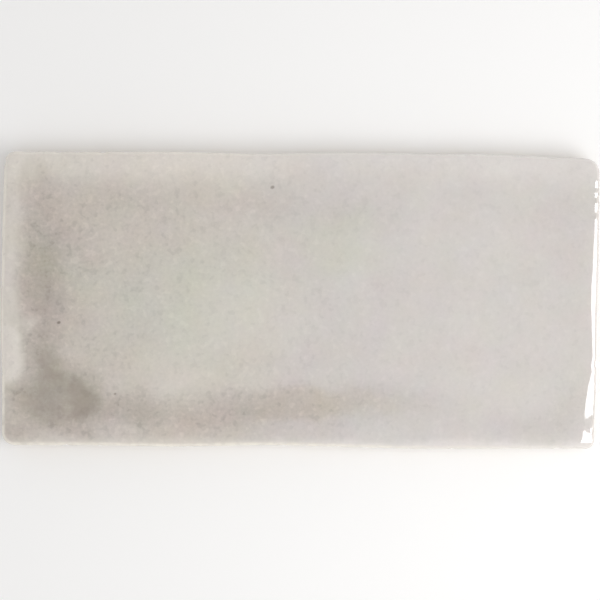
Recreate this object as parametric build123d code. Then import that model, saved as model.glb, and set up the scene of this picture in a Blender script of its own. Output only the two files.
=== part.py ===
from build123d import *
import math
import os

# Hand-finished ceramic wall tile, fired as one piece. It lies on its flat back with the glazed face up.
# X runs along its length, Y across its width and Z out of the face. The origin is at the middle of the back.
# All sizes are in millimetres.

# Body
TILE_LENGTH = 150.0
TILE_WIDTH = 74.3
TILE_THICKNESS = 8.5
BACK_CHAMFER = 0.5

# Rim: the face falls away over these widths, and a round takes it over into the sides.
RIM_FALL = 1.2
LEFT_RIM = 5.0
FAR_RIM = 6.0
NEAR_RIM = 3.5
ARRIS_RADIUS = 1.3

# The right rim is widest and falls most at the middle of its side, and fades to its ends over a spread
RIGHT_FALL = 0.95
RIGHT_RIM = 3.6
RIGHT_END_FALL = 0.55
RIGHT_END_RIM = 2.2
RIGHT_SPREAD = 13.0

# Droop of the near right corner: the right rim's fall and width there, and how far it runs along that side
DROOP_FALL = 1.62
DROOP_RIM = 7.2
DROOP_LENGTH = 23.0

# Corners seen from above, each with its own rounding
FAR_LEFT_RADIUS = 3.0
FAR_RIGHT_RADIUS = 4.0
NEAR_RIGHT_RADIUS = 2.2
NEAR_LEFT_RADIUS = 3.4

# Wander of the hand-trimmed sides: how far each one lies inside the full length or width, at even stations.
# The far and near sides run from left to right, the left and right sides from near to far.
FAR_WANDER = (0.3, 0.3, 0.15, 0.45, 0.0, 0.1, 0.25, 1.0)
NEAR_WANDER = (0.1, 0.2, 0.1, 0.6, 0.3, 0.0, 0.2, 0.3)
LEFT_WANDER = (0.5, 0.4, 0.0, 0.1, 0.3, 0.6)
RIGHT_WANDER = (0.75, 0.5, 0.5, 0.2, 0.1, 0.0)

# Shallow hollows along the left and near sides of the face, where the glaze gathers
HOLLOW_DEPTH = 0.2
HOLLOW_INSET = 11.0
HOLLOW_SPREAD = 7.0

# Slow swell of the face left by pressing
SWELL_HEIGHT = 0.15
SWELL_LENGTH = 58.0
SWELL_WIDTH = 44.0

# Points that carry the face surface, and how far that surface reaches past the sides
FACE_COLUMNS = 91
FACE_ROWS = 51
FACE_OVERHANG = 2.0
FACE_TOLERANCE = 0.02

HALF_LENGTH = TILE_LENGTH / 2
HALF_WIDTH = TILE_WIDTH / 2


def side_points(wander, start, end, place):
    """Points of one side at even stations from start to end; place(station, inset) gives each in plan."""
    step = (end - start) / (len(wander) - 1)
    return [place(start + index * step, inset) for index, inset in enumerate(wander)]


def outline():
    """Plan of the tile: four wandering sides joined by tangent corner arcs."""
    near = side_points(
        NEAR_WANDER,
        LEFT_WANDER[0] + NEAR_LEFT_RADIUS - HALF_LENGTH,
        HALF_LENGTH - RIGHT_WANDER[0] - NEAR_RIGHT_RADIUS,
        lambda x, inset: (x, inset - HALF_WIDTH),
    )
    right = side_points(
        RIGHT_WANDER,
        NEAR_WANDER[-1] + NEAR_RIGHT_RADIUS - HALF_WIDTH,
        HALF_WIDTH - FAR_WANDER[-1] - FAR_RIGHT_RADIUS,
        lambda y, inset: (HALF_LENGTH - inset, y),
    )
    far = side_points(
        FAR_WANDER,
        LEFT_WANDER[-1] + FAR_LEFT_RADIUS - HALF_LENGTH,
        HALF_LENGTH - RIGHT_WANDER[-1] - FAR_RIGHT_RADIUS,
        lambda x, inset: (x, HALF_WIDTH - inset),
    )
    left = side_points(
        LEFT_WANDER,
        NEAR_WANDER[0] + NEAR_LEFT_RADIUS - HALF_WIDTH,
        HALF_WIDTH - FAR_WANDER[0] - FAR_LEFT_RADIUS,
        lambda y, inset: (inset - HALF_LENGTH, y),
    )
    along, across = [(1, 0), (1, 0)], [(0, 1), (0, 1)]
    sides_and_corners = [
        Spline(*near, tangents=along),
        RadiusArc(near[-1], right[0], -NEAR_RIGHT_RADIUS),
        Spline(*right, tangents=across),
        RadiusArc(right[-1], far[-1], -FAR_RIGHT_RADIUS),
        Spline(*far, tangents=along),
        RadiusArc(far[0], left[-1], -FAR_LEFT_RADIUS),
        Spline(*left, tangents=across),
        RadiusArc(left[0], near[0], -NEAR_LEFT_RADIUS),
    ]
    return make_face(sides_and_corners)


def rim_fall(inset, rim_width, fall=RIM_FALL):
    """Drop of the face at a distance in from a side: a parabola that starts at the rim's inner edge."""
    return fall * max(0.0, 1.0 - inset / rim_width) ** 2


def droop(near):
    """Share of the corner's droop at a distance in from the near side: full there, and gone at a soft crease."""
    return 1 - min(1.0, max(0.0, near / DROOP_LENGTH)) ** 2


def right_fall(inset, near):
    """Drop of the face along the right side, which swells at its middle and droops at the near corner."""
    swelling = math.exp(-(((near - HALF_WIDTH) / RIGHT_SPREAD) ** 2))
    drooping = droop(near)
    rim_width = RIGHT_END_RIM + (RIGHT_RIM - RIGHT_END_RIM) * swelling + (DROOP_RIM - RIGHT_END_RIM) * drooping
    fall = RIGHT_END_FALL + (RIGHT_FALL - RIGHT_END_FALL) * swelling + (DROOP_FALL - RIGHT_END_FALL) * drooping
    return rim_fall(inset, rim_width, fall)


def hollow(inset):
    """Depth of a glaze hollow at a distance in from its side."""
    return HOLLOW_DEPTH * math.exp(-(((inset - HOLLOW_INSET) / HOLLOW_SPREAD) ** 2))


def face_height(x, y):
    """Height of the glazed face above the back."""
    left, right = HALF_LENGTH + x, HALF_LENGTH - x
    near, far = HALF_WIDTH + y, HALF_WIDTH - y
    rims = (
        rim_fall(left, LEFT_RIM)
        + right_fall(right, near)
        + rim_fall(near, NEAR_RIM)
        + rim_fall(far, FAR_RIM)
    )
    wave = math.cos(2 * math.pi * x / SWELL_LENGTH) * math.cos(2 * math.pi * y / SWELL_WIDTH)
    swell = SWELL_HEIGHT * (1 - wave) / 2
    return TILE_THICKNESS - rims - hollow(left) - hollow(near) - swell


def stations(half, count):
    """Even places from one side to the other, past both by the face's overhang."""
    reach = half + FACE_OVERHANG
    return [reach * (2 * index / (count - 1) - 1) for index in range(count)]


def face_surface():
    """The glazed face as one smooth surface, wider than the tile."""
    rows = [
        [(x, y, face_height(x, y)) for x in stations(HALF_LENGTH, FACE_COLUMNS)]
        for y in stations(HALF_WIDTH, FACE_ROWS)
    ]
    return Face.make_surface_from_array_of_points(rows, tol=FACE_TOLERANCE)


def tile():
    """The whole tile: its plan extruded, trimmed to the face, with the arris rounded and the back edges broken."""
    block_height = TILE_THICKNESS + FACE_OVERHANG
    block = extrude(outline(), block_height)
    waste = extrude(face_surface(), block_height, dir=(0, 0, 1))
    body = block - waste
    face = body.faces().sort_by(Axis.Z)[-1]
    body = fillet(face.outer_wire().edges(), ARRIS_RADIUS)
    back = body.faces().sort_by(Axis.Z)[0]
    return chamfer(back.outer_wire().edges(), BACK_CHAMFER)


os.makedirs("parts", exist_ok=True)
export_step(tile(), "parts/tile.step")
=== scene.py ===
import logging
import math
from dataclasses import dataclass, field
from enum import Enum
from typing import Any, Mapping, Optional, Sequence, Tuple, Union

import bmesh
import bpy
from mathutils import Matrix, Vector, noise
from mathutils.bvhtree import BVHTree


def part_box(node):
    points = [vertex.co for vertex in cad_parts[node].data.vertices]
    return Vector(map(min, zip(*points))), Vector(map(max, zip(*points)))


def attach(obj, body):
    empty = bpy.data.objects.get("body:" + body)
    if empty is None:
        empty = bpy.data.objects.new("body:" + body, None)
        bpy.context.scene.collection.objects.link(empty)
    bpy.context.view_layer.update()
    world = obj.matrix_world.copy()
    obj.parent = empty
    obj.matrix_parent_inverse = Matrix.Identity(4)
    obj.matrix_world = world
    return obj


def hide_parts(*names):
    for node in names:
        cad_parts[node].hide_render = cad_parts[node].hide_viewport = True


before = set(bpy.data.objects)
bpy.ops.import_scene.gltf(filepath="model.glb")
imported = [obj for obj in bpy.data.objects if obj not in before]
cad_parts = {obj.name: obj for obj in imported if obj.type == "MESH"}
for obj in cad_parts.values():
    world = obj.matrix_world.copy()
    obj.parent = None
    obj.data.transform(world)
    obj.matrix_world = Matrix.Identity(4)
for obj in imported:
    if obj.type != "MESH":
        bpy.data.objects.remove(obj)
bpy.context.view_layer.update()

LOG = logging.getLogger("ceramic_tile")
MM = 0.001

# Values that the mesh carries for the glaze: distance in from the sides, and height at which the glaze ends
INSET_NAME = "inset_mm"
RUN_NAME = "run_mm"

# Sockets of a Mix node that mixes colours
MIX_SHARE = 0
MIX_FIRST = 6
MIX_SECOND = 7
MIX_RESULT = 2

# Middle of the range of a noise texture
NOISE_MIDDLE = 0.5

# Reach of a patch up and down, in millimetres: so far that only its place in plan counts
PATCH_HEIGHT = 1000.0

# Two points that differ by less than this along an axis are level there, in metres
LEVEL_GAP = 1e-7

Colour = Tuple[float, float, float, float]
Place = Tuple[float, float, float]
Plan = Tuple[float, float]
WHITE: Colour = (1.0, 1.0, 1.0, 1.0)


def paint(red: int, green: int, blue: int) -> Colour:
    """Turn a display colour into the linear one that a shader takes.

    Args:
        red: Red from 0 to 255.
        green: Green from 0 to 255.
        blue: Blue from 0 to 255.

    Returns:
        The linear colour with full alpha.
    """
    shares = [part / 255.0 for part in (red, green, blue)]
    linear = [s / 12.92 if s <= 0.04045 else ((s + 0.055) / 1.055) ** 2.4 for s in shares]
    return (linear[0], linear[1], linear[2], 1.0)


def clamp(value: float) -> float:
    """Keep a value between 0 and 1."""
    return min(1.0, max(0.0, value))


class Side(Enum):
    """A side of the face that has a band of thin glaze: the plan axis that it faces, and its sign."""

    LEFT = (0, -1)
    NEAR = (1, -1)
    FAR = (1, 1)


class Share(Enum):
    """What a lamp is for: to show as a glint in the glaze, or to spread soft light."""

    GLINT = "glint"
    SPREAD = "spread"


@dataclass(frozen=True)
class Ease:
    """A smooth change of level along a value.

    Attributes:
        start: Where the low level ends.
        end: Where the high level begins; it may be below start.
        low: The level before start.
        high: The level past end.
    """

    start: float
    end: float
    low: float = 0.0
    high: float = 1.0


@dataclass(frozen=True)
class Cloud:
    """A noise texture.

    Attributes:
        size: How wide its features are, in millimetres.
        detail: How many finer layers it has.
        rough: How strong each finer layer is beside the one before it.
    """

    size: float
    detail: float = 2.0
    rough: float = 0.5


@dataclass(frozen=True)
class Drift:
    """A way of moving places about by noise.

    Attributes:
        size: How wide the noise's features are, in millimetres.
        reach: How far a place moves at most, both ways, in millimetres.
        detail: How many finer layers the noise has.
    """

    size: float
    reach: float
    detail: float = 3.0


class Number:
    """A shader value whose arithmetic adds Math nodes to its tree."""

    def __init__(self, kit: "NodeKit", socket: bpy.types.NodeSocket) -> None:
        """Wrap one output socket of a tree."""
        self.kit = kit
        self.socket = socket

    def __add__(self, other: "Term") -> "Number":
        """Add a value."""
        return self.kit.math("ADD", self, other)

    def __radd__(self, other: "Term") -> "Number":
        """Add to a plain number."""
        return self.kit.math("ADD", other, self)

    def __sub__(self, other: "Term") -> "Number":
        """Take a value away."""
        return self.kit.math("SUBTRACT", self, other)

    def __rsub__(self, other: "Term") -> "Number":
        """Take this from a plain number."""
        return self.kit.math("SUBTRACT", other, self)

    def __mul__(self, other: "Term") -> "Number":
        """Multiply by a value."""
        return self.kit.math("MULTIPLY", self, other)

    def __rmul__(self, other: "Term") -> "Number":
        """Multiply a plain number."""
        return self.kit.math("MULTIPLY", other, self)


Term = Union[Number, float, int]


class NodeKit:
    """Builds the node tree of one material or of the world."""

    def __init__(self, owner: Union[bpy.types.Material, bpy.types.World]) -> None:
        """Empty the owner's tree.

        Args:
            owner: The material or the world.
        """
        self.owner = owner
        owner.use_nodes = True
        self.tree = owner.node_tree
        self.tree.nodes.clear()

    def node(
        self,
        kind: str,
        settings: Optional[Mapping[str, Any]] = None,
        inputs: Optional[Mapping[Union[int, str], Any]] = None,
    ) -> bpy.types.Node:
        """Add one node, with its settings first and its sockets after them.

        Args:
            kind: The node's type name.
            settings: The node's own properties; stops is a ramp's list of places and colours.
            inputs: Values, or sockets to link, by the input's name or number.

        Returns:
            The new node.
        """
        made = self.tree.nodes.new(kind)
        for key, value in (settings or {}).items():
            if key == "stops":
                self._stops(made.color_ramp, value)
            else:
                setattr(made, key, value)
        for key, value in (inputs or {}).items():
            socket = made.inputs[key]
            if isinstance(value, Number):
                self.tree.links.new(value.socket, socket)
            elif isinstance(value, bpy.types.NodeSocket):
                self.tree.links.new(value, socket)
            else:
                socket.default_value = value
        return made

    @staticmethod
    def _stops(ramp: bpy.types.ColorRamp, stops: Sequence[Tuple[float, Colour]]) -> None:
        """Give a ramp its stops.

        Args:
            ramp: The ramp.
            stops: Places and colours, from the lowest place to the highest.
        """
        ramp.interpolation = "LINEAR"
        while len(ramp.elements) < len(stops):
            ramp.elements.new(1.0)
        for element, (place, colour) in zip(ramp.elements, stops):
            element.position = place
            element.color = colour

    def number(self, made: bpy.types.Node, output: Union[int, str] = 0) -> Number:
        """Wrap an output of a node as a value."""
        return Number(self, made.outputs[output])

    def math(self, operation: str, first: Term, second: Term) -> Number:
        """Add one Math node."""
        return self.number(self.node("ShaderNodeMath", {"operation": operation}, {0: first, 1: second}))

    def step(self, value: Term, ease: Ease) -> Number:
        """Change a level smoothly along a value.

        Args:
            value: The value to follow.
            ease: The change.

        Returns:
            The level.
        """
        made = self.node(
            "ShaderNodeMapRange",
            {"interpolation_type": "SMOOTHSTEP"},
            {
                "Value": value,
                "From Min": ease.start,
                "From Max": ease.end,
                "To Min": ease.low,
                "To Max": ease.high,
            },
        )
        return self.number(made)

    def texture(self, place: bpy.types.NodeSocket, cloud: Cloud) -> bpy.types.Node:
        """Add a noise texture.

        Args:
            place: The place, in millimetres.
            cloud: The noise.

        Returns:
            The texture's node.
        """
        return self.node(
            "ShaderNodeTexNoise",
            inputs={
                "Vector": place,
                "Scale": 1.0 / cloud.size,
                "Detail": cloud.detail,
                "Roughness": cloud.rough,
            },
        )

    def noise(self, place: bpy.types.NodeSocket, cloud: Cloud) -> Number:
        """Value of a noise at a place, from 0 to 1."""
        return self.number(self.texture(place, cloud))

    def swing(self, place: bpy.types.NodeSocket, cloud: Cloud) -> Number:
        """Value of a noise at a place, around 0."""
        return self.noise(place, cloud) - NOISE_MIDDLE

    def drift(self, place: bpy.types.NodeSocket, *drifts: Drift) -> bpy.types.NodeSocket:
        """Move a place about, so that what is drawn there loses its straight outline.

        Args:
            place: The place, in millimetres.
            drifts: The moves, one after another.

        Returns:
            The moved place.
        """
        for drift in drifts:
            cloud = self.texture(place, Cloud(drift.size, drift.detail))
            centred = self.node(
                "ShaderNodeVectorMath",
                {"operation": "SUBTRACT"},
                {0: cloud.outputs["Color"], 1: (NOISE_MIDDLE, NOISE_MIDDLE, NOISE_MIDDLE)},
            )
            scaled = self.node(
                "ShaderNodeVectorMath",
                {"operation": "SCALE"},
                {0: centred.outputs[0], "Scale": drift.reach / NOISE_MIDDLE},
            )
            ends = {0: place, 1: scaled.outputs[0]}
            place = self.node("ShaderNodeVectorMath", {"operation": "ADD"}, ends).outputs[0]
        return place

    def blend(self, share: Term, first: Any, second: Any, mode: str = "MIX") -> bpy.types.NodeSocket:
        """Mix two colours.

        Args:
            share: How much of the second colour shows.
            first: A colour or a colour socket.
            second: A colour or a colour socket.
            mode: The way of mixing.

        Returns:
            The mixed colour's socket.
        """
        made = self.node(
            "ShaderNodeMix",
            {"data_type": "RGBA", "blend_type": mode, "clamp_factor": True},
            {MIX_SHARE: share, MIX_FIRST: first, MIX_SECOND: second},
        )
        return made.outputs[MIX_RESULT]

    def finish(self, shader: bpy.types.Node) -> None:
        """Join a shader to the owner's output."""
        kind = "World" if isinstance(self.owner, bpy.types.World) else "Material"
        self.node("ShaderNodeOutput" + kind, inputs={"Surface": shader.outputs[0]})


@dataclass(frozen=True)
class Shade:
    """Colour of the glaze at one thickness.

    Attributes:
        depth: The thickness.
        colour: The colour.
    """

    depth: float
    colour: Colour


@dataclass(frozen=True)
class Patch:
    """A soft oval on the face, in millimetres from the middle of the tile.

    Attributes:
        centre: Its place along the length and across the width.
        reach: Its half-lengths along its own two axes.
        strength: How much it adds to what it is drawn into.
        turn: How far it is turned, in degrees, anticlockwise seen from above.
        soft: Share of the reach over which it fades.
    """

    centre: Plan
    reach: Plan
    strength: float
    turn: float = 0.0
    soft: float = 1.0

    def draw(self, kit: NodeKit, place: bpy.types.NodeSocket) -> Number:
        """Draw the oval into a tree.

        Args:
            kit: The tree.
            place: The place on the face, in millimetres.

        Returns:
            The oval's strength at each place.
        """
        local = kit.node(
            "ShaderNodeMapping",
            {"vector_type": "TEXTURE"},
            {
                "Vector": place,
                "Location": (self.centre[0], self.centre[1], 0.0),
                "Rotation": (0.0, 0.0, math.radians(self.turn)),
                "Scale": (self.reach[0], self.reach[1], PATCH_HEIGHT),
            },
        )
        away = kit.node("ShaderNodeVectorMath", {"operation": "LENGTH"}, {0: local.outputs[0]})
        return kit.step(kit.number(away, "Value"), Ease(1.0, 1.0 - self.soft, 0.0, self.strength))


@dataclass(frozen=True)
class RimBand:
    """A strip along one side of the face, in millimetres.

    Attributes:
        side: The side it follows.
        inner: How far in from the side it ends.
        outer: How far in from the side it has its full strength.
        strength: How much it adds to what it is drawn into.
        fade: How it sets in along the side; none for the whole side.
    """

    side: Side
    inner: float
    outer: float
    strength: float
    fade: Optional[Ease] = None

    def draw(self, kit: NodeKit, place: bpy.types.NodeSocket, half: Plan) -> Number:
        """Draw the strip into a tree.

        Args:
            kit: The tree.
            place: The place on the face, in millimetres.
            half: Half the tile's length and width.

        Returns:
            The strip's strength at each place.
        """
        axis, sign = self.side.value
        axes = kit.node("ShaderNodeSeparateXYZ", inputs={0: place})
        inset = half[axis] - sign * kit.number(axes, axis)
        strip = kit.step(inset, Ease(self.inner, self.outer, 0.0, self.strength))
        if self.fade is None:
            return strip
        return strip * kit.step(kit.number(axes, 1 - axis), self.fade)


@dataclass(frozen=True)
class Speck:
    """A small oval mark in the glaze.

    Attributes:
        centre: Its place in millimetres from the middle of the tile.
        radius: Its longer radius in millimetres.
        strength: How strongly it shows.
        flatness: Its shorter radius as a share of the longer one.
        turn: How far it is turned, in degrees, anticlockwise seen from above.
        soft: Share of the radius over which it fades.
    """

    centre: Plan
    radius: float
    strength: float
    flatness: float = 0.75
    turn: float = 20.0
    soft: float = 0.7

    def patch(self) -> Patch:
        """The mark as a patch."""
        reach = (self.radius, self.flatness * self.radius)
        return Patch(self.centre, reach, self.strength, self.turn, self.soft)


@dataclass(frozen=True)
class Surface:
    """The point of the tile that a tree shades, in millimetres.

    Attributes:
        kit: The tree.
        place: The point from the middle of the tile's back.
        along: Its place along the length.
        across: Its place across the width.
        above: Its height above the back.
        inset: How far in from the sides it lies, seen from above.
        run: Height at which the glaze ends on the side beside it.
    """

    kit: NodeKit
    place: bpy.types.NodeSocket
    along: Number
    across: Number
    above: Number
    inset: Number
    run: Number

    @classmethod
    def of(cls, kit: NodeKit) -> "Surface":
        """Read the shaded point into a tree.

        Args:
            kit: The tree.

        Returns:
            The point.
        """
        coords = kit.node("ShaderNodeTexCoord")
        scaled = kit.node(
            "ShaderNodeVectorMath", {"operation": "SCALE"}, {0: coords.outputs["Object"], "Scale": 1.0 / MM}
        )
        axes = kit.node("ShaderNodeSeparateXYZ", inputs={0: scaled.outputs[0]})
        inset = kit.node("ShaderNodeAttribute", {"attribute_name": INSET_NAME})
        run = kit.node("ShaderNodeAttribute", {"attribute_name": RUN_NAME})
        return cls(
            kit,
            scaled.outputs[0],
            kit.number(axes, 0),
            kit.number(axes, 1),
            kit.number(axes, 2),
            kit.number(inset, "Fac"),
            kit.number(run, "Fac"),
        )


@dataclass(frozen=True)
class GlazeFinish:
    """Grey-white glaze over a pale biscuit body, pooled along two sides and thin on the rim, with painted
    light and shade.

    Places and sizes are in millimetres from the middle of the tile's back. The glaze's thickness is 1 in the
    deepest pool, 0 where it is thin, and less on the brightest rim.
    """

    # Colour of the glaze by its thickness
    bright_rim: Shade = Shade(-0.14, paint(231, 226, 222))
    thinnest: Shade = Shade(0.0, paint(219, 214, 209))
    thin: Shade = Shade(0.15, paint(207, 202, 197))
    middling: Shade = Shade(0.48, paint(185, 178, 174))
    thick: Shade = Shade(0.78, paint(163, 157, 152))
    thickest: Shade = Shade(1.0, paint(144, 137, 132))

    # Slow tints: warm on the left, cool in thin glaze on the right, green in two areas, and faint blotches
    warm_tint: Colour = paint(216, 201, 177)
    cool_tint: Colour = paint(209, 201, 197)
    green_tint: Colour = paint(204, 209, 178)
    tint_share: float = 0.25
    cool_drift: Drift = Drift(12.0, 12.0)
    cool_along: Ease = Ease(-24.0, 10.0)
    cool_by_depth: Ease = Ease(0.5, 0.2)
    green_drift: Drift = Drift(14.0, 5.0)
    green_areas: Tuple[Patch, ...] = (
        Patch((-29.0, 0.0), (29.0, 24.0), 0.85, soft=0.65),
        Patch((10.5, 15.0), (12.0, 12.0), 0.8, soft=0.7),
    )
    blotches: Cloud = Cloud(9.0)
    blotch_share: float = 0.05

    # Thickness of the glaze over the whole tile, and more where it ends on the sides; the rise to the left
    # is painted shade
    ground: float = 0.10
    leftward_shade: Ease = Ease(40.0, -62.0, 0.0, 0.16)
    clots: Cloud = Cloud(2.4, 4.0, 0.6)
    clot_share: float = 0.5
    clouds: Cloud = Cloud(11.0, 4.0, 0.55)
    cloud_share: float = 0.16
    drip: Ease = Ease(1.4, 0.1, 0.0, 0.2)

    # Pools: left side, near left corner, far side, near side, right side, two spots, and thin places between
    pool_drifts: Tuple[Drift, ...] = (Drift(14.0, 2.4), Drift(3.5, 1.1), Drift(1.3, 0.5))
    pools: Tuple[Patch, ...] = (
        Patch((-64.5, 6.0), (8.5, 34.0), 0.42),
        Patch((-58.0, 8.0), (12.0, 33.0), 0.14),
        Patch((-69.0, 2.5), (5.0, 12.0), 0.12),
        Patch((-65.0, 31.0), (3.0, 4.5), 0.10),
        Patch((-71.0, 32.0), (9.0, 9.0), 0.12),
        Patch((-63.0, -15.0), (7.0, 11.0), 0.30),
        Patch((-59.7, -17.9), (9.8, 5.3), 0.28, turn=-33.0, soft=0.8),
        Patch((-61.0, -25.5), (13.0, 9.0), 0.42, soft=0.5),
        Patch((-53.1, -23.3), (5.5, 8.5), 0.42, soft=0.8),
        Patch((-61.5, -25.5), (9.0, 6.0), 0.22, soft=0.8),
        Patch((-53.0, -30.0), (5.5, 5.0), 0.22),
        Patch((-67.0, -28.5), (11.0, 9.0), 0.10),
        Patch((-71.0, -33.5), (7.0, 4.5), 0.20),
        Patch((-54.0, -34.0), (6.5, 3.5), 0.18),
        Patch((-50.0, 35.0), (25.0, 6.0), 0.03),
        Patch((-48.0, 25.5), (16.0, 8.0), 0.10, turn=-6.0),
        Patch((-30.0, 23.5), (18.0, 7.5), 0.05, turn=-8.0),
        Patch((-8.0, 23.5), (17.0, 7.0), 0.10),
        Patch((14.0, 21.5), (17.0, 7.0), 0.08, turn=-5.0),
        Patch((-12.0, -28.5), (54.0, 9.0), 0.16, turn=3.0, soft=0.8),
        Patch((-44.5, -27.5), (14.0, 5.5), 0.30, soft=0.7),
        Patch((-21.0, -28.5), (20.0, 4.2), 0.12, soft=0.7),
        Patch((-3.0, -26.0), (20.0, 6.2), 0.18, soft=0.6),
        Patch((18.0, -25.0), (15.0, 5.6), 0.14),
        Patch((15.0, -22.0), (9.0, 4.5), 0.10),
        Patch((33.0, -27.0), (18.0, 9.0), 0.11),
        Patch((57.0, -31.0), (20.0, 6.5), 0.11),
        Patch((66.0, 2.0), (24.0, 42.0), 0.06),
        Patch((63.0, 24.0), (12.0, 9.0), 0.06),
        Patch((69.0, -26.0), (12.0, 12.0), 0.12),
        Patch((-24.0, 5.5), (3.0, 2.4), 0.08),
        Patch((-7.5, -15.0), (3.0, 3.0), 0.06),
        Patch((-66.8, -6.0), (3.6, 3.0), -0.32),
        Patch((-25.5, -21.0), (15.0, 4.5), -0.09),
        Patch((-17.0, -5.0), (30.0, 20.0), -0.12),
        Patch((-34.0, -17.0), (18.0, 8.0), -0.10),
        Patch((-33.0, -23.5), (9.0, 4.0), -0.10),
    )

    # Thin glaze along the rim, and a pale lobe that reaches in from the left side; the far rim's lightening
    # is partly painted light
    rim_drifts: Tuple[Drift, ...] = (Drift(9.0, 2.0), Drift(2.5, 0.6))
    rims: Tuple[RimBand, ...] = (
        RimBand(Side.LEFT, 7.6, 2.4, -0.30, fade=Ease(-24.0, -16.0)),
        # Far side: thin glaze, lightened further as painted light for the light that the tilted rim catches
        RimBand(Side.FAR, 10.0, 0.5, -0.21),
        RimBand(Side.FAR, 13.0, 4.5, -0.17, fade=Ease(10.0, -30.0)),
        RimBand(Side.NEAR, 3.2, 0.8, -0.20),
    )
    lobe_drift: Drift = Drift(5.0, 0.8)
    lobe: Patch = Patch((-73.5, -14.3), (5.7, 8.5), -0.23, soft=0.3)

    # Fine mottle: faint grain and short flecks, strongest on the left and in the middling glaze
    grain: Cloud = Cloud(0.9, 2.0, 0.6)
    grain_share: float = 0.24
    fleck_drift: Drift = Drift(0.9, 0.5)
    flecks: Cloud = Cloud(1.9, 1.0)
    dark_fleck: Ease = Ease(0.42, 0.30, 0.0, 0.09)
    light_fleck: Ease = Ease(0.60, 0.70, 0.0, 0.07)
    mottle_along: Ease = Ease(50.0, -45.0, 0.6, 1.0)
    mottle_by_depth: Ease = Ease(0.05, 0.5, 0.6, 1.4)
    mottle_in_pools: Ease = Ease(0.6, 0.95, 1.0, 0.5)

    # Worn arris where the body shows, under a painted highlight: its reach in and down, and its share round
    # the tile
    arris_cream_and_highlight: Colour = paint(238, 231, 219)
    arris_inset: Ease = Ease(1.3, 0.5)
    arris_height: Ease = Ease(4.8, 6.2)
    arris_cloud: Cloud = Cloud(2.6, 3.0)
    arris_wear_and_highlight: Ease = Ease(0.3, 0.62, 0.35, 1.0)
    arris_across: Ease = Ease(34.0, 28.0, 0.2, 1.0)
    arris_along: Ease = Ease(70.0, -20.0, 0.3, 1.0)

    # Marks in the glaze
    speck_colour: Colour = paint(118, 108, 98)
    specks: Tuple[Speck, ...] = (
        Speck((-60.1, -6.1), 0.7, 0.75),
        Speck((-7.0, 28.1), 0.8, 0.6),
        Speck((-45.9, -23.8), 0.5, 0.55),
    )
    pin_holes: Tuple[Speck, ...] = (
        Speck((-10.3, -2.4), 0.6, 0.5),
    )

    # Bare biscuit at the foot of the sides and on the back
    biscuit: Colour = paint(214, 202, 184)
    biscuit_dark: Colour = paint(190, 176, 156)
    biscuit_cloud: Cloud = Cloud(1.6, 4.0, 0.65)
    glaze_end: Ease = Ease(0.15, -0.15)

    # Shine, and the fine relief of both surfaces
    ior: float = 1.7
    glaze_rough: float = 0.03
    rough_spread: float = 0.03
    rough_cloud: Cloud = Cloud(9.0, 3.0)
    biscuit_rough: float = 0.85
    peel: Cloud = Cloud(2.6, 1.0)
    peel_height: float = 0.004
    sand: Cloud = Cloud(0.5, 4.0, 0.7)
    sand_height: float = 0.10

    def material(self, half: Plan) -> bpy.types.Material:
        """Make the tile's material.

        Args:
            half: Half the tile's length and width, in millimetres.

        Returns:
            The material.
        """
        dressing = bpy.data.materials.new("grey_glaze")
        kit = NodeKit(dressing)
        spot = Surface.of(kit)
        bare = kit.step(spot.above - spot.run, self.glaze_end)
        glaze = self._glaze_colour(spot, self._glaze_depth(spot, half))
        body = kit.blend(kit.noise(spot.place, self.biscuit_cloud), self.biscuit, self.biscuit_dark)
        polish = self.glaze_rough + self.rough_spread * kit.noise(spot.place, self.rough_cloud)
        shader = kit.node(
            "ShaderNodeBsdfPrincipled",
            inputs={
                "Base Color": kit.blend(bare, glaze, body),
                "Roughness": polish * (1.0 - bare) + self.biscuit_rough * bare,
                "IOR": self.ior,
                "Normal": self._bump(spot, bare),
            },
        )
        kit.finish(shader)
        return dressing

    def _glaze_depth(self, spot: Surface, half: Plan) -> Number:
        """Work out how thick the glaze lies, with painted shade towards the left and painted light on the
        far rim.

        Args:
            spot: The shaded point.
            half: Half the tile's length and width, in millimetres.

        Returns:
            The thickness.
        """
        kit = spot.kit
        ragged = kit.drift(spot.place, *self.pool_drifts)
        # Painted shade: a broad darkening towards the left, for light falling from the right; the pools go
        # on top
        pooled = kit.step(spot.along, self.leftward_shade)
        for pool in self.pools:
            pooled = pooled + pool.draw(kit, ragged)
        clotted = 1.0 + self.clot_share * kit.swing(spot.place, self.clots)
        depth = self.ground + pooled * clotted + self.cloud_share * kit.swing(spot.place, self.clouds)
        wavy = kit.drift(spot.place, *self.rim_drifts)
        for rim in self.rims:
            depth = depth + rim.draw(kit, wavy, half)
        depth = depth + self.lobe.draw(kit, kit.drift(spot.place, self.lobe_drift))
        return depth + kit.step(spot.above - spot.run, self.drip)

    def _glaze_colour(self, spot: Surface, depth: Number) -> bpy.types.NodeSocket:
        """Colour the glaze by its thickness, with slow tints, fine mottle, a worn arris with a painted
        highlight, and specks.

        Args:
            spot: The shaded point.
            depth: How thick the glaze lies.

        Returns:
            The colour's socket.
        """
        kit = spot.kit
        shades = (self.bright_rim, self.thinnest, self.thin, self.middling, self.thick, self.thickest)
        lowest = self.bright_rim.depth
        span = self.thickest.depth - lowest
        stops = [((shade.depth - lowest) / span, shade.colour) for shade in shades]
        ramp = kit.node("ShaderNodeValToRGB", {"stops": stops}, {0: (depth - lowest) * (1.0 / span)})
        colour = kit.blend(self.tint_share, ramp.outputs[0], self._tint(spot, depth))
        blotches = kit.texture(spot.place, self.blotches)
        colour = kit.blend(self.blotch_share, colour, blotches.outputs["Color"], "OVERLAY")
        colour = kit.blend(1.0, colour, self._mottle(spot, depth).socket, "MULTIPLY")
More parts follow.
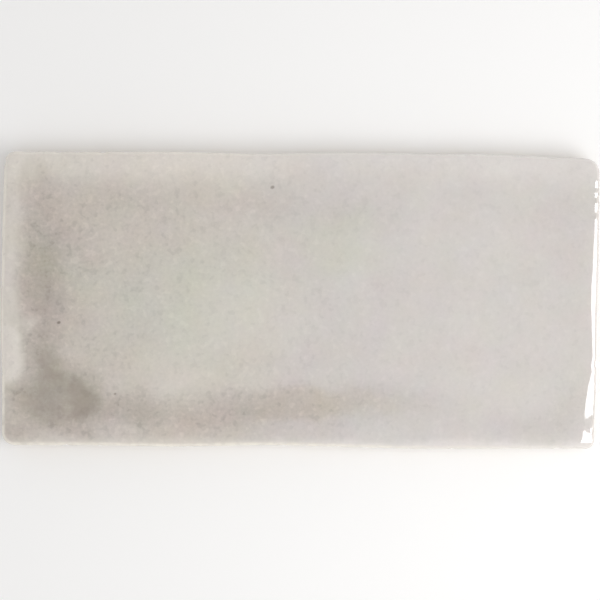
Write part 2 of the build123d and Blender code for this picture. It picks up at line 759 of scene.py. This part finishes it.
        # Cream on the arris: worn places where the body shows, and a painted highlight along the edge
        colour = kit.blend(self._worn_arris_and_highlight(spot), colour, self.arris_cream_and_highlight)
        for speck in self.specks:
            colour = kit.blend(speck.patch().draw(kit, spot.place), colour, self.speck_colour)
        for pin in self.pin_holes:
            colour = kit.blend(pin.patch().draw(kit, spot.place), colour, self.thinnest.colour)
        return colour

    def _tint(self, spot: Surface, depth: Number) -> bpy.types.NodeSocket:
        """Make the slow tints of the glaze.

        Args:
            spot: The shaded point.
            depth: How thick the glaze lies.

        Returns:
            The tint's socket.
        """
        kit = spot.kit
        swayed = kit.drift(spot.place, self.green_drift)
        green: Term = 0.0
        for area in self.green_areas:
            green = green + area.draw(kit, swayed)
        axes = kit.node("ShaderNodeSeparateXYZ", inputs={0: kit.drift(spot.place, self.cool_drift)})
        cool = kit.step(kit.number(axes, 0), self.cool_along) * kit.step(depth, self.cool_by_depth)
        return kit.blend(green, kit.blend(cool, self.warm_tint, self.cool_tint), self.green_tint)

    def _mottle(self, spot: Surface, depth: Number) -> Number:
        """Make the fine mottle.

        Args:
            spot: The shaded point.
            depth: How thick the glaze lies.

        Returns:
            A factor around 1 for the colour.
        """
        kit = spot.kit
        grain = self.grain_share * kit.swing(spot.place, self.grain)
        fleck = kit.noise(kit.drift(spot.place, self.fleck_drift), self.flecks)
        flecks = kit.step(fleck, self.light_fleck) - kit.step(fleck, self.dark_fleck)
        strong = kit.step(spot.along, self.mottle_along) * kit.step(depth, self.mottle_by_depth)
        strong = strong * kit.step(depth, self.mottle_in_pools)
        return 1.0 + strong * (grain + flecks)

    def _worn_arris_and_highlight(self, spot: Surface) -> Number:
        """Mask the worn arris and its painted highlight.

        Args:
            spot: The shaded point.

        Returns:
            How much of the cream shows, as worn body and painted highlight.
        """
        kit = spot.kit
        edge = kit.step(spot.inset, self.arris_inset) * kit.step(spot.above, self.arris_height)
        # The floor of the wear mask and the share by side paint a highlight, most on the left and near sides
        worn = kit.step(kit.noise(spot.place, self.arris_cloud), self.arris_wear_and_highlight)
        sides = kit.step(spot.across, self.arris_across) * kit.step(spot.along, self.arris_along)
        return edge * worn * sides

    def _bump(self, spot: Surface, bare: Number) -> bpy.types.NodeSocket:
        """Make the fine relief: orange peel in the glaze and sandy pores in the biscuit.

        Args:
            spot: The shaded point.
            bare: Where the body is bare.

        Returns:
            The normal's socket.
        """
        kit = spot.kit
        peel = self.peel_height * kit.noise(spot.place, self.peel)
        sand = self.sand_height * kit.noise(spot.place, self.sand)
        height = peel * (1.0 - bare) + sand * bare
        made = kit.node("ShaderNodeBump", inputs={"Strength": 1.0, "Distance": MM, "Height": height})
        return made.outputs[0]


@dataclass(frozen=True)
class Roll:
    """A wave of the glaze's surface, in millimetres.

    Attributes:
        depth: How far it sinks the surface at most.
        length: How long its crests and hollows are.
    """

    depth: float
    length: float

    def at(self, spot: Vector) -> float:
        """How far the wave sinks the surface at a place."""
        return self.depth * (0.5 + 0.5 * noise.noise(spot / self.length))


@dataclass(frozen=True)
class Dent:
    """A small hollow in the arris, in millimetres.

    Attributes:
        centre: Its place along the length and across the width.
        reach: Its half-lengths the same two ways.
        depth: How deep its middle is.
    """

    centre: Plan
    reach: Plan
    depth: float

    def at(self, spot: Vector) -> float:
        """Measure the hollow at a place.

        Args:
            spot: The place.

        Returns:
            The depth there.
        """
        along = (spot.x - self.centre[0]) / self.reach[0]
        across = (spot.y - self.centre[1]) / self.reach[1]
        return self.depth * max(0.0, 1.0 - along * along - across * across)


@dataclass
class GlazedTile:
    """The tile as one glazed piece, dense enough to carry the wave of its face and its trimmed edges.

    Lengths are in millimetres, apart from the box, which is in metres.

    Attributes:
        node: The solid that it stands for.
        cuts: Cuts along the length, the width and the thickness.
        crowding: How strongly the cuts crowd towards the edges, from 0 to 1.
        upright: Most that a face's normal may rise for the face to count as part of a side.
        back_edge: Height above the back up to which nothing is smoothed.
        soft_rounds: Times that the sides and the face are smoothed.
        soft_share: How far a point goes each time towards the middle of its neighbours.
        face_inset: How far in from the sides the face is smoothed more.
        face_rounds: Times that the face is smoothed more, up and down alone.
        face_share: How far a point goes each of those times.
        back_skin: Height above the back up to which the surface isn't sunk.
        rolls: The slow wave and the short ripple of the glaze.
        nick: Depth of the nicks along the arris.
        calm_nick: Their depth on the right side, which is smoother.
        calm_reach: Distances from the right end between which they pass from one depth to the other.
        nick_width: How far in from the sides they reach.
        nick_length: How long they are.
        nick_level: Level of their noise below which there is none.
        nick_layer: Height in that noise at which they are read.
        dents: Small hollows in the right arris.
        shoulder: How far the glaze stands out from the bare foot of the sides.
        shoulder_height: Height below the glaze's end over which the foot comes to its full depth.
        side_skin: How far in from the sides the foot reaches.
        run_height: Mean height at which the glaze ends on the sides.
        run_sway: How far that height wanders both ways.
        run_length: How long its runs are.
        run_layer: Height in its noise at which it is read.
        low: Lowest corner of the solid's box.
        high: Highest corner of the solid's box.
        middle: Middle of the solid's box.
    """

    node: str = "tile"
    cuts: Tuple[int, int, int] = (219, 109, 12)
    crowding: Tuple[float, float, float] = (0.6, 0.6, 0.0)
    upright: float = 0.05
    back_edge: float = 0.8
    soft_rounds: int = 2
    soft_share: float = 0.4
    face_inset: float = 1.6
    face_rounds: int = 14
    face_share: float = 0.5
    back_skin: float = 0.05
    rolls: Tuple[Roll, ...] = (Roll(0.05, 13.0), Roll(0.012, 3.5))
    nick: float = 0.50
    calm_nick: float = 0.16
    calm_reach: Plan = (10.0, 4.0)
    nick_width: float = 1.4
    nick_length: float = 2.2
    nick_level: float = 0.15
    nick_layer: float = 7.0
    dents: Tuple[Dent, ...] = (
        Dent((74.2, 28.6), (2.6, 1.0), 0.10),
        Dent((74.2, 26.2), (2.6, 0.9), 0.10),
        Dent((74.2, 22.6), (2.6, 1.2), 0.12),
        Dent((74.0, -15.6), (3.0, 1.0), 0.30),
    )
    shoulder: float = 0.12
    shoulder_height: float = 0.5
    side_skin: float = 0.4
    run_height: float = 2.4
    run_sway: float = 2.2
    run_length: float = 6.0
    run_layer: float = 3.0
    low: Vector = field(init=False)
    high: Vector = field(init=False)
    middle: Vector = field(init=False)

    def __post_init__(self) -> None:
        """Take the piece's box from the solid."""
        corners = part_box(self.node)
        self.low = Vector(corners[0])
        self.high = Vector(corners[1])
        self.middle = (self.high + self.low) / 2

    def half_mm(self) -> Plan:
        """Half the length and half the width, in millimetres."""
        size = (self.high - self.low) / MM
        return (size.x / 2, size.y / 2)

    def build(self, finish: GlazeFinish) -> bpy.types.Object:
        """Make the piece, dress it and set it in the frame.

        Args:
            finish: The glaze.

        Returns:
            The finished object.
        """
        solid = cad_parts[self.node]
        shape = self._blank()
        self._fit(shape, solid)
        walls = self._walls(solid)
        self._soften(shape, walls)
        self._relieve(shape, walls)
        self._mark(shape, walls)
        mesh = bpy.data.meshes.new("glazed_tile")
        shape.to_mesh(mesh)
        shape.free()
        mesh.shade_smooth()
        mesh.materials.append(finish.material(self.half_mm()))
        piece = bpy.data.objects.new("glazed_tile", mesh)
        bpy.context.scene.collection.objects.link(piece)
        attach(piece, "root")
        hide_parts(self.node)
        return piece

    def _blank(self) -> bmesh.types.BMesh:
        """Cut a block of the tile's box into a fine grid that crowds towards the edges.

        Returns:
            The block.
        """
        shape = bmesh.new()
        bmesh.ops.create_cube(shape, size=1.0)
        size = self.high - self.low
        bmesh.ops.scale(shape, vec=size, verts=shape.verts)
        for axis, cuts in enumerate(self.cuts):
            along = [edge for edge in shape.edges if self._runs(edge, axis)]
            bmesh.ops.subdivide_edges(shape, edges=along, cuts=cuts, use_grid_fill=True)
        for vert in shape.verts:
            for axis, crowd in enumerate(self.crowding):
                half = size[axis] / 2
                share = vert.co[axis] / half
                vert.co[axis] = half * ((1 - crowd) * share + crowd * math.sin(math.pi * share / 2))
        bmesh.ops.translate(shape, vec=self.middle, verts=shape.verts)
        return shape

    @staticmethod
    def _runs(edge: bmesh.types.BMEdge, axis: int) -> bool:
        """Whether an edge of the block runs along an axis."""
        return abs(edge.verts[1].co[axis] - edge.verts[0].co[axis]) > LEVEL_GAP

    @staticmethod
    def _fit(shape: bmesh.types.BMesh, solid: bpy.types.Object) -> None:
        """Lay the grid onto the solid's surface.

        Args:
            shape: The grid.
            solid: The solid's object.
        """
        mesh = solid.data
        tree = BVHTree.FromPolygons([v.co for v in mesh.vertices], [p.vertices for p in mesh.polygons])
        for vert in shape.verts:
            vert.co = tree.find_nearest(vert.co)[0]

    def _walls(self, solid: bpy.types.Object) -> BVHTree:
        """Gather the solid's upright sides, for measuring how far in from them a place is.

        Args:
            solid: The solid's object.

        Returns:
            The sides.
        """
        mesh = solid.data
        sides = [p.vertices for p in mesh.polygons if abs(p.normal.z) < self.upright]
        return BVHTree.FromPolygons([v.co for v in mesh.vertices], sides)

    def _inset(self, place: Vector, walls: BVHTree) -> float:
        """Measure how far a place lies in from the sides, seen from above.

        Args:
            place: The place, in metres.
            walls: The upright sides.

        Returns:
            The distance in millimetres.
        """
        level = Vector((place.x, place.y, self.middle.z))
        return walls.find_nearest(level)[3] / MM

    def _soften(self, shape: bmesh.types.BMesh, walls: BVHTree) -> None:
        """Smooth the facets that the fit leaves, without moving the back, and the face most.

        Args:
            shape: The fitted grid.
            walls: The upright sides.
        """
        lifted = [v for v in shape.verts if v.co.z > self.low.z + self.back_edge * MM]
        for _ in range(self.soft_rounds):
            bmesh.ops.smooth_vert(
                shape,
                verts=lifted,
                factor=self.soft_share,
                use_axis_x=True,
                use_axis_y=True,
                use_axis_z=True,
            )
        upper = [v for v in lifted if v.co.z > self.middle.z]
        face = [v for v in upper if self._inset(v.co, walls) > self.face_inset]
        for _ in range(self.face_rounds):
            bmesh.ops.smooth_vert(shape, verts=face, factor=self.face_share, use_axis_z=True)

    def _relieve(self, shape: bmesh.types.BMesh, walls: BVHTree) -> None:
        """Sink the surface: waves of the glaze, nicks and dents in the arris, and the sides' bare foot.

        Args:
            shape: The softened grid.
            walls: The upright sides.
        """
        shape.normal_update()
        moves = []
        for vert in shape.verts:
            if vert.co.z < self.low.z + self.back_skin * MM:
                continue
            spot = vert.co / MM
            inset = self._inset(vert.co, walls)
            sink = sum(roll.at(spot) for roll in self.rolls)
            sink += self._nicks(spot, inset)
            sink += self._foot(spot, inset)
            sink += sum(dent.at(spot) for dent in self.dents)
            moves.append((vert, vert.normal * (-sink * MM)))
        for vert, move in moves:
            vert.co += move

    def _nicks(self, spot: Vector, inset: float) -> float:
        """Measure the nicks in the arris at a place.

        Args:
            spot: The place, in millimetres.
            inset: How far in from the sides it lies.

        Returns:
            Their depth there.
        """
        edge = max(0.0, 1.0 - inset / self.nick_width)
        grain = Vector((spot.x / self.nick_length, spot.y / self.nick_length, self.nick_layer))
        chips = max(0.0, noise.noise(grain) - self.nick_level)
        begin, end = self.calm_reach
        from_right = self.high.x / MM - spot.x
        calm = clamp((begin - from_right) / (begin - end))
        return (self.nick + (self.calm_nick - self.nick) * calm) * edge * chips

    def _foot(self, spot: Vector, inset: float) -> float:
        """Measure how far the bare foot of the sides lies behind the glaze at a place.

        Args:
            spot: The place, in millimetres.
            inset: How far in from the sides it lies.

        Returns:
            The distance, which is 0 above the foot.
        """
        if inset >= self.side_skin:
            return 0.0
        return self.shoulder * clamp((self._run(spot) - spot.z) / self.shoulder_height)

    def _run(self, spot: Vector) -> float:
        """Height at which the glaze ends on the side beside a place, in millimetres."""
        grain = Vector((spot.x / self.run_length, spot.y / self.run_length, self.run_layer))
        return self.run_height + self.run_sway * noise.noise(grain)

    def _mark(self, shape: bmesh.types.BMesh, walls: BVHTree) -> None:
        """Keep each point's distance from the sides, and the glaze's lower end there, with the mesh.

        Args:
            shape: The finished grid.
            walls: The upright sides.
        """
        inset = shape.verts.layers.float.new(INSET_NAME)
        run = shape.verts.layers.float.new(RUN_NAME)
        for vert in shape.verts:
            vert[inset] = self._inset(vert.co, walls)
            vert[run] = self._run(vert.co / MM)


@dataclass(frozen=True)
class Panel:
    """A flat lamp that faces the tile, in metres.

    Attributes:
        name: The lamp's name.
        low_edge: Middle of its lower edge.
        high_edge: Middle of its upper edge.
        width: Its width along those edges.
        radiance: How bright its surface is.
        share: What it is for.
    """

    name: str
    low_edge: Place
    high_edge: Place
    width: float
    radiance: float
    share: Share

    def hang(self) -> None:
        """Make the lamp and turn it to the tile."""
        low = Vector(self.low_edge)
        high = Vector(self.high_edge)
        rise = high - low
        lamp = bpy.data.lights.new(self.name, "AREA")
        lamp.shape = "RECTANGLE"
        lamp.size = self.width
        lamp.size_y = rise.length
        lamp.energy = self.radiance * math.pi * self.width * rise.length
        up = rise.normalized()
        middle = (low + high) / 2
        away = (middle - middle.dot(up) * up).normalized()
        across = up.cross(away)
        turn = Matrix((across, up, away)).transposed()
        hung = bpy.data.objects.new(self.name, lamp)
        hung.matrix_world = Matrix.Translation(middle) @ turn.to_4x4()
        hung.visible_camera = False
        hung.visible_diffuse = self.share is Share.SPREAD
        hung.visible_glossy = self.share is Share.GLINT
        bpy.context.scene.collection.objects.link(hung)


@dataclass
class Studio:
    """Seamless pale floor, soft graded daylight, lamp panels and a camera straight above the face.

    Attributes:
        lens: Focal length in millimetres.
        sensor: Width of the camera's film in millimetres.
        view_width: Width that the picture covers at the point aimed at, in metres.
        aim: The point in the middle of the picture, in metres.
        roll: How far the camera is turned about its own axis, in degrees.
        floor_size: Side of the floor, in metres.
        floor_colour: Colour of the floor.
        seam: How the floor passes into the backdrop, by the distance from the middle in metres.
        daylight: Strength of the daylight from the horizon up to overhead.
        panels: The lamps.
    """

    lens: float = 100.0
    sensor: float = 36.0
    view_width: float = 0.1507
    aim: Place = (0.0001, 0.0, 0.0060)
    roll: float = 0.45
    floor_size: float = 6.0
    floor_colour: Colour = paint(253, 252, 251)
    seam: Ease = Ease(0.09, 0.30)
    daylight: Ease = Ease(0.1, 0.9, 1.0, 0.54)
    panels: Tuple[Panel, ...] = (
        Panel("window", (0.431, 0.0, 0.150), (0.2915, 0.0, 0.387), 0.110, 8.0, Share.GLINT),
        Panel("window_beside", (0.431, -0.150, 0.150), (0.2915, -0.150, 0.387), 0.1716, 8.0, Share.GLINT),
        Panel("skylight", (0.322, -0.080, 0.200), (0.118, -0.080, 0.360), 0.280, 2.6, Share.SPREAD),
    )

    def build(self) -> None:
        """Set up the floor, the light and the camera."""
        self._floor()
        self._world()
        for panel in self.panels:
            panel.hang()
        self._camera()

    def _floor(self) -> None:
        """Lay the floor under the tile."""
        shape = bmesh.new()
        bmesh.ops.create_grid(shape, x_segments=1, y_segments=1, size=self.floor_size / 2)
        mesh = bpy.data.meshes.new("floor")
        shape.to_mesh(mesh)
        shape.free()
        mesh.materials.append(self._floor_finish())
        floor = bpy.data.objects.new("floor", mesh)
        bpy.context.scene.collection.objects.link(floor)

    def _floor_finish(self) -> bpy.types.Material:
        """Make the floor's material, which passes into a plain backdrop far from the tile.

        Returns:
            The material.
        """
        dressing = bpy.data.materials.new("pale_floor")
        kit = NodeKit(dressing)
        coords = kit.node("ShaderNodeTexCoord")
        away = kit.node("ShaderNodeVectorMath", {"operation": "LENGTH"}, {0: coords.outputs["Object"]})
        rays = kit.node("ShaderNodeLightPath")
        seen = kit.number(rays, "Is Camera Ray") + kit.number(rays, "Is Glossy Ray")
        seen = seen + kit.number(rays, "Is Transmission Ray")
        far = kit.step(kit.number(away, "Value"), self.seam) * seen
        matt = kit.node("ShaderNodeBsdfDiffuse", inputs={"Color": self.floor_colour})
        glow = kit.node("ShaderNodeEmission", inputs={"Color": self.floor_colour, "Strength": 1.0})
        kit.finish(kit.node("ShaderNodeMixShader", inputs={0: far, 1: matt.outputs[0], 2: glow.outputs[0]}))
        return dressing

    def _world(self) -> None:
        """Give soft daylight from all round, brightest at the horizon."""
        world = bpy.data.worlds.new("daylight")
        kit = NodeKit(world)
        coords = kit.node("ShaderNodeTexCoord")
        axes = kit.node("ShaderNodeSeparateXYZ", inputs={0: coords.outputs["Generated"]})
        strength = kit.step(kit.number(axes, 2), self.daylight)
        kit.finish(kit.node("ShaderNodeBackground", inputs={"Color": WHITE, "Strength": strength}))
        bpy.context.scene.world = world

    def _camera(self) -> None:
        """Hang the camera above the middle of the tile, looking straight down."""
        data = bpy.data.cameras.new("camera")
        data.lens = self.lens
        data.sensor_width = self.sensor
        camera = bpy.data.objects.new("camera", data)
        above = Vector((0.0, 0.0, self.view_width * self.lens / self.sensor))
        camera.location = Vector(self.aim) + above
        camera.rotation_euler = (0.0, 0.0, math.radians(self.roll))
        bpy.context.scene.collection.objects.link(camera)
        bpy.context.scene.camera = camera


def main() -> None:
    """Build the tile and the studio, and log the tile's face count."""
    logging.basicConfig(level=logging.INFO)
    piece = GlazedTile().build(GlazeFinish())
    LOG.info("%s: %d faces", piece.name, len(piece.data.polygons))
    Studio().build()
    LOG.info("studio ready")
    bpy.context.scene.view_settings.view_transform = "Standard"


if __name__ == "__main__":
    main()
